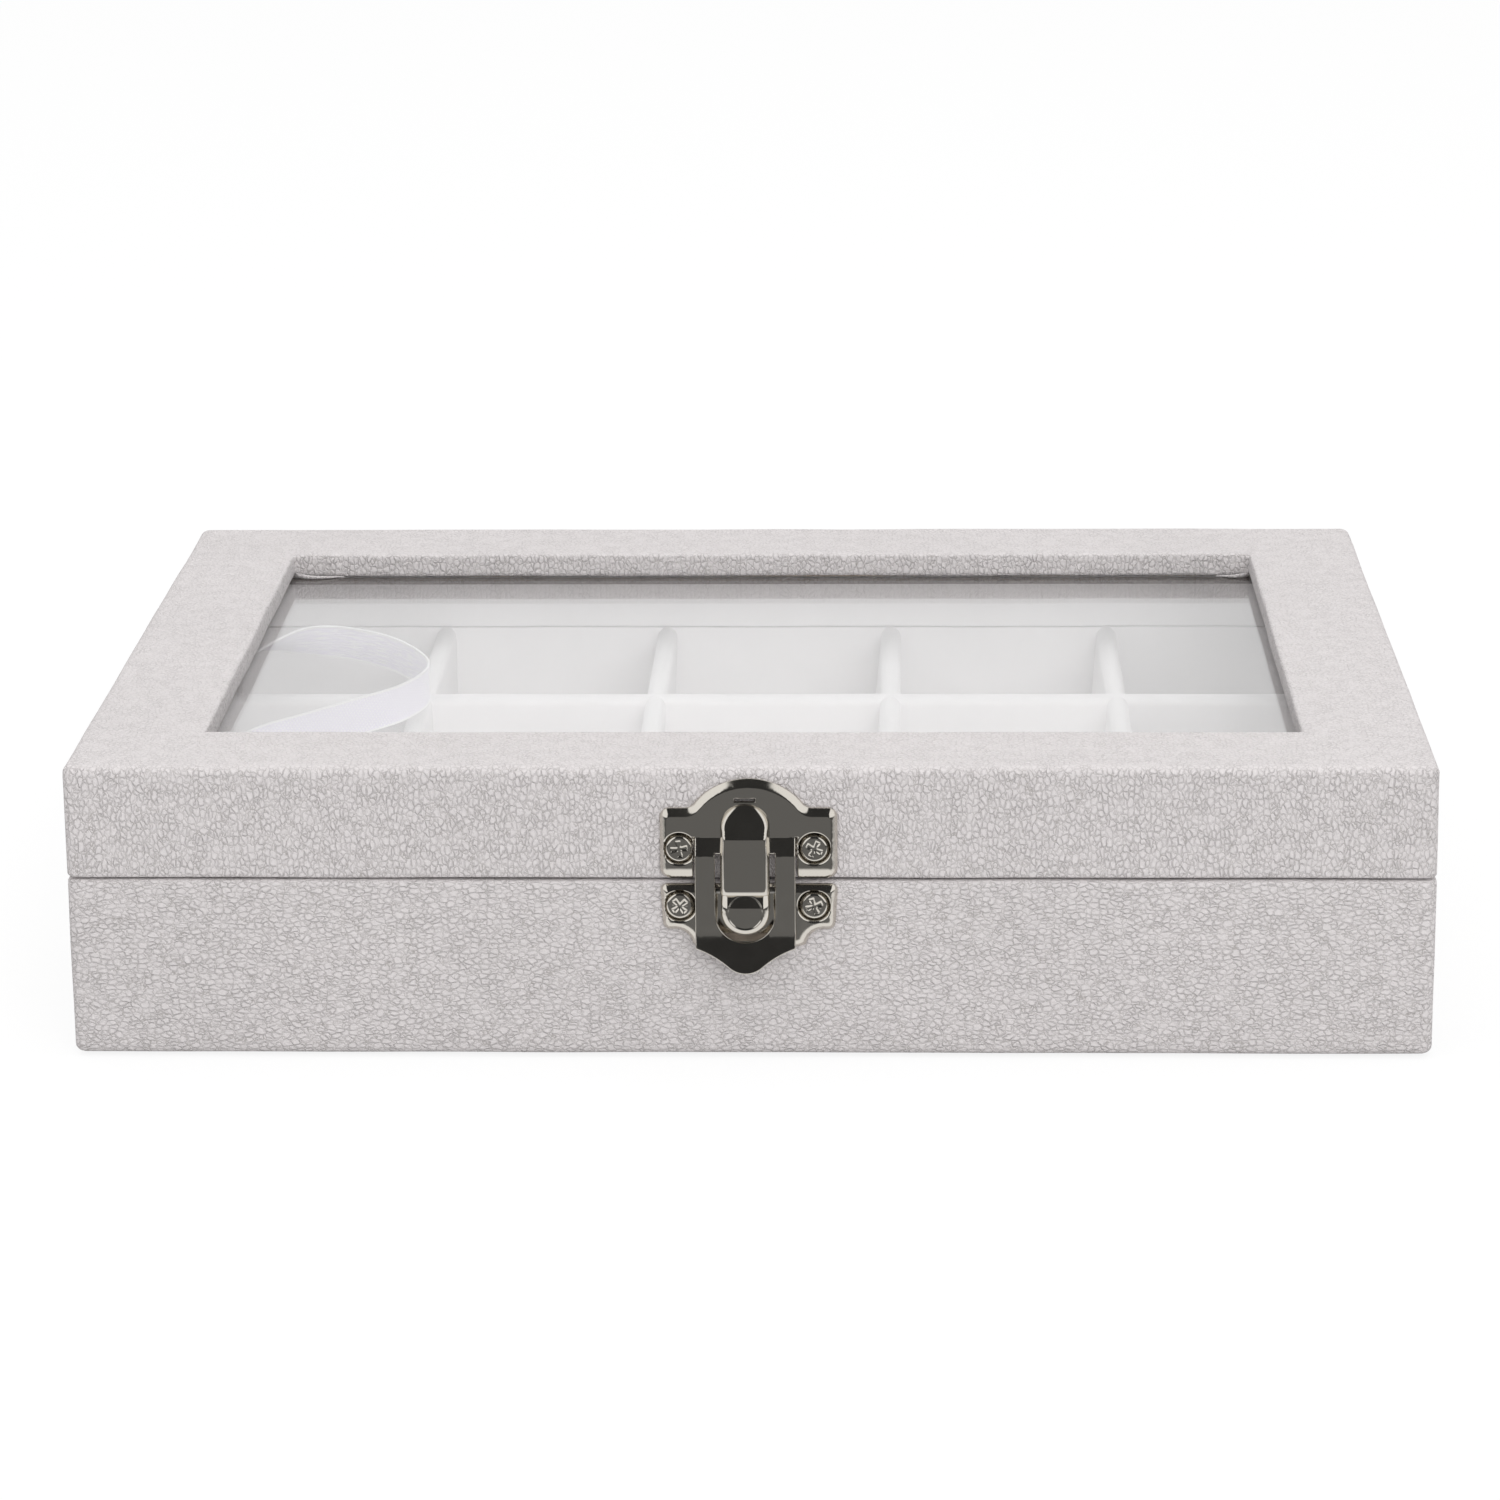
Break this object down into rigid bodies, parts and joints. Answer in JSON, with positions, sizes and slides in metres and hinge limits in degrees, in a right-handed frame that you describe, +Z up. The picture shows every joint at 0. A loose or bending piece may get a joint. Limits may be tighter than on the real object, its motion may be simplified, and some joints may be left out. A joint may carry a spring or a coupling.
{
  "type": "ring display box",
  "caption": "Low suede-covered display box for rings, with a hinged glass-topped lid, a velvet tray of square compartments, a ribbon stay and a push-button clasp.",
  "frame": {"origin": "middle of the underside, on the surface that the box stands on", "axes": "+X to the right along the width, +Y to the back where the hinges are, +Z up through the glass lid"},
  "size_m": [0.2, 0.1578, 0.0445],
  "materials": {
    "suede_cover": "short-napped warm grey suede cloth with a fine crackle",
    "fibreboard": "raw medium-density fibreboard, hidden under the cloth",
    "white_velvet": "white velvet over card",
    "grey_paper": "matt paper pasted to the underside",
    "clear_glass": "clear float glass with ground edges",
    "nickel_plated_steel": "stamped steel, bright nickel plated",
    "spring_steel": "drawn steel",
    "satin_ribbon": "white double-faced satin ribbon"
  },
  "bodies": {
    "base": {"base_front_board": "fibreboard", "base_back_board": "fibreboard", "base_left_board": "fibreboard", "base_right_board": "fibreboard", "base_bottom_board": "fibreboard", "base_cover": "suede_cover", "underside_paper": "grey_paper", "floor_pad": "white_velvet", "base_front_liner": "white_velvet", "base_back_liner": "white_velvet", "base_left_liner": "white_velvet", "base_right_liner": "white_velvet", "long_divider_1": "white_velvet", "long_divider_2": "white_velvet", "long_divider_3": "white_velvet", "long_divider_4": "white_velvet", "cross_divider_1": "white_velvet", "cross_divider_2": "white_velvet", "keeper_plate": "nickel_plated_steel", "keeper_screws": "nickel_plated_steel", "button_pin": "spring_steel", "button_spring": "spring_steel", "left_base_leaf": "nickel_plated_steel", "right_base_leaf": "nickel_plated_steel", "left_hinge_pin": "spring_steel", "right_hinge_pin": "spring_steel", "base_hinge_screws": "nickel_plated_steel", "ribbon_stay": "satin_ribbon"},
    "lid": {"lid_front_rail": "fibreboard", "lid_back_rail": "fibreboard", "lid_left_rail": "fibreboard", "lid_right_rail": "fibreboard", "lid_top_board": "fibreboard", "lid_cover": "suede_cover", "glass_pane": "clear_glass", "front_retainer": "white_velvet", "back_retainer": "white_velvet", "left_retainer": "white_velvet", "right_retainer": "white_velvet", "lid_front_liner": "white_velvet", "lid_back_liner": "white_velvet", "lid_left_liner": "white_velvet", "lid_right_liner": "white_velvet", "hasp_plate": "nickel_plated_steel", "hasp_tongue": "nickel_plated_steel", "hasp_screws": "nickel_plated_steel", "left_lid_leaf": "nickel_plated_steel", "right_lid_leaf": "nickel_plated_steel", "lid_hinge_screws": "nickel_plated_steel"},
    "button": {"release_button": "nickel_plated_steel"}
  },
  "joints": [
    {"name": "lid_hinge", "type": "hinge", "parent": "base", "child": "lid", "pos_m": [0, 0.0768, 0.0275], "axis": [-1, 0, 0], "range_deg": [0, 95], "deforming": ["ribbon_stay"]},
    {"name": "button_press", "type": "hinge", "parent": "base", "child": "button", "pos_m": [-0.0005, -0.07595, 0.0262], "axis": [1, 0, 0], "range_deg": [0, 13], "stiffness_Nm_per_rad": 0.03, "springref_deg": -5.73, "deforming": ["button_spring"]}
  ]
}
